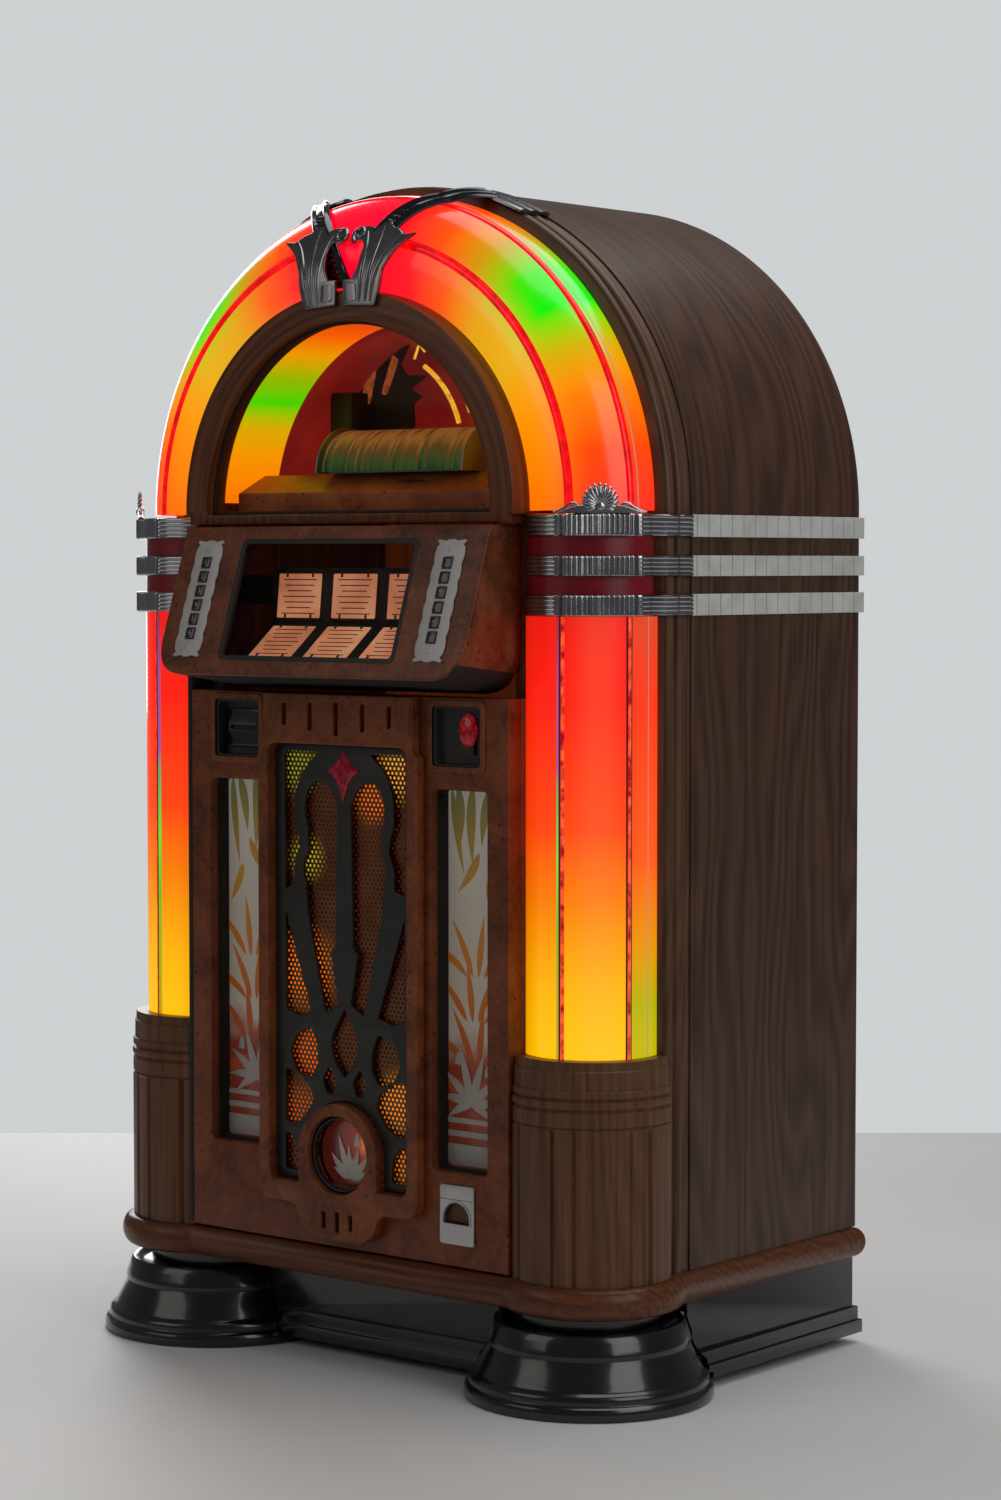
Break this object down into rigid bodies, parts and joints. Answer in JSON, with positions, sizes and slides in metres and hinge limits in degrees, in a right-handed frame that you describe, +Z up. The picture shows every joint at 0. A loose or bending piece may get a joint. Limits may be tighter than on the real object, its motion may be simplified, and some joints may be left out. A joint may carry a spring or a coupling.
{
  "type": "jukebox",
  "caption": "Arch-top floor-standing jukebox: walnut case, lit plastic arch and pillars, sloping selection console, grille door, title pages, black bell feet.",
  "frame": {"origin": "on the floor under the middle of the machine", "axes": "+Z up, the front faces -Y, +X to the right of a person standing in front"},
  "size_m": [0.998, 0.6758, 1.6],
  "materials": {
    "walnut": "satin open-grain walnut veneer",
    "burl": "semi-gloss burl veneer",
    "plywood": "raw plywood",
    "black_gloss": "gloss black lacquer",
    "black_matte": "matt black",
    "chrome": "polished chrome plate",
    "lit_plastic": "translucent moulded plastic, lit from inside",
    "lamp_tube": "fluorescent tube",
    "clear_glass": "clear pane",
    "art_glass": "printed art glass",
    "speaker_metal": "black stoved aluminium",
    "casting": "satin black casting",
    "mesh": "perforated metal",
    "steel": "brushed",
    "red_panel": "red enamel",
    "page": "printed title card",
    "alloy": "anodised"
  },
  "bodies": {
    "cabinet": {"side_panel_left": "walnut", "side_panel_right": "walnut", "shell_arch": "walnut", "bead_trim": "walnut", "back_panel": "plywood", "mains_inlet": "black_matte", "base_moulding": "walnut", "plinth": "black_gloss", "foot_left": "black_gloss", "foot_right": "black_gloss", "column_left": "walnut", "column_right": "walnut", "pillar_left": "lit_plastic", "pillar_right": "lit_plastic", "arch_plastic": "lit_plastic", "lamp_left": "lamp_tube", "lamp_right": "lamp_tube", "bands_left": "chrome", "bands_right": "chrome", "crown_left": "chrome", "crown_right": "chrome", "front_frame": "walnut", "title_arch": "burl", "arch_glass": "clear_glass", "door_hinge": "steel", "display_stage": "red_panel", "disc_rack": "alloy", "amplifier": "alloy"},
    "lower_door": {"lower_door_panel": "burl", "centre_panel": "burl", "deco_casting": "casting", "grille_mesh": "mesh", "art_glass_right": "art_glass", "art_glass_left": "art_glass", "woofer": "speaker_metal", "coin_entry": "black_matte", "note_unit": "black_matte", "coin_return": "chrome"},
    "console": {"console_shell": "burl", "console_glass": "clear_glass", "keypad_left": "chrome", "keypad_right": "chrome", "page_rack": "alloy"},
    "key_left_1": {"key_left_1": "black_gloss"},
    "key_right_1": {"key_right_1": "black_gloss"},
    "key_left_2": {"key_left_2": "black_gloss"},
    "key_right_2": {"key_right_2": "black_gloss"},
    "key_left_3": {"key_left_3": "black_gloss"},
    "key_right_3": {"key_right_3": "black_gloss"},
    "key_left_4": {"key_left_4": "black_gloss"},
    "key_right_4": {"key_right_4": "black_gloss"},
    "key_left_5": {"key_left_5": "black_gloss"},
    "key_right_5": {"key_right_5": "black_gloss"},
    "key_left_6": {"key_left_6": "black_gloss"},
    "key_right_6": {"key_right_6": "black_gloss"},
    "coin_flap": {"coin_flap": "steel"},
    "page_left": {"page_left": "page"},
    "page_middle": {"page_middle": "page"},
    "page_right": {"page_right": "page"},
    "carriage": {"carriage": "alloy"}
  },
  "joints": [
    {"name": "lower_door_hinge", "type": "hinge", "parent": "cabinet", "child": "lower_door", "pos_m": [-0.2885, -0.2485, 0.55], "axis": [0, 0, 1], "range_deg": [-100, 0]},
    {"name": "console_hinge", "type": "hinge", "parent": "cabinet", "child": "console", "pos_m": [-0.2885, -0.2485, 1.03], "axis": [0, 0, 1], "range_deg": [-88, 0]},
    {"name": "key_left_1_press", "type": "slide", "parent": "console", "child": "key_left_1", "axis": [0, 0.9478, -0.319], "range_m": [0, 0.002], "stiffness_N_per_m": 400, "springref_m": -0.001},
    {"name": "key_right_1_press", "type": "slide", "parent": "console", "child": "key_right_1", "axis": [0, 0.9478, -0.319], "range_m": [0, 0.002], "stiffness_N_per_m": 400, "springref_m": -0.001},
    {"name": "key_left_2_press", "type": "slide", "parent": "console", "child": "key_left_2", "axis": [0, 0.9478, -0.319], "range_m": [0, 0.002], "stiffness_N_per_m": 400, "springref_m": -0.001},
    {"name": "key_right_2_press", "type": "slide", "parent": "console", "child": "key_right_2", "axis": [0, 0.9478, -0.319], "range_m": [0, 0.002], "stiffness_N_per_m": 400, "springref_m": -0.001},
    {"name": "key_left_3_press", "type": "slide", "parent": "console", "child": "key_left_3", "axis": [0, 0.9478, -0.319], "range_m": [0, 0.002], "stiffness_N_per_m": 400, "springref_m": -0.001},
    {"name": "key_right_3_press", "type": "slide", "parent": "console", "child": "key_right_3", "axis": [0, 0.9478, -0.319], "range_m": [0, 0.002], "stiffness_N_per_m": 400, "springref_m": -0.001},
    {"name": "key_left_4_press", "type": "slide", "parent": "console", "child": "key_left_4", "axis": [0, 0.9478, -0.319], "range_m": [0, 0.002], "stiffness_N_per_m": 400, "springref_m": -0.001},
    {"name": "key_right_4_press", "type": "slide", "parent": "console", "child": "key_right_4", "axis": [0, 0.9478, -0.319], "range_m": [0, 0.002], "stiffness_N_per_m": 400, "springref_m": -0.001},
    {"name": "key_left_5_press", "type": "slide", "parent": "console", "child": "key_left_5", "axis": [0, 0.9478, -0.319], "range_m": [0, 0.002], "stiffness_N_per_m": 400, "springref_m": -0.001},
    {"name": "key_right_5_press", "type": "slide", "parent": "console", "child": "key_right_5", "axis": [0, 0.9478, -0.319], "range_m": [0, 0.002], "stiffness_N_per_m": 400, "springref_m": -0.001},
    {"name": "key_left_6_press", "type": "slide", "parent": "console", "child": "key_left_6", "axis": [0, 0.9478, -0.319], "range_m": [0, 0.002], "stiffness_N_per_m": 400, "springref_m": -0.001},
    {"name": "key_right_6_press", "type": "slide", "parent": "console", "child": "key_right_6", "axis": [0, 0.9478, -0.319], "range_m": [0, 0.002], "stiffness_N_per_m": 400, "springref_m": -0.001},
    {"name": "coin_flap_hinge", "type": "hinge", "parent": "lower_door", "child": "coin_flap", "pos_m": [0.199, -0.245, 0.2545], "axis": [1, 0, 0], "range_deg": [0, 35]},
    {"name": "page_left_flip", "type": "hinge", "parent": "console", "child": "page_left", "pos_m": [-0.0995, -0.232, 1.014], "axis": [1, 0, 0], "range_deg": [0, 128]},
    {"name": "page_middle_flip", "type": "hinge", "parent": "console", "child": "page_middle", "pos_m": [0, -0.232, 1.014], "axis": [1, 0, 0], "range_deg": [0, 128]},
    {"name": "page_right_flip", "type": "hinge", "parent": "console", "child": "page_right", "pos_m": [0.0995, -0.232, 1.014], "axis": [1, 0, 0], "range_deg": [0, 128]},
    {"name": "carriage_travel", "type": "slide", "parent": "cabinet", "child": "carriage", "axis": [1, 0, 0], "range_m": [0, 0.36]}
  ],
  "couplings": [
    {"joint": "page_middle_flip", "follows": "page_left_flip", "ratio": 1},
    {"joint": "page_right_flip", "follows": "page_left_flip", "ratio": 1}
  ]
}
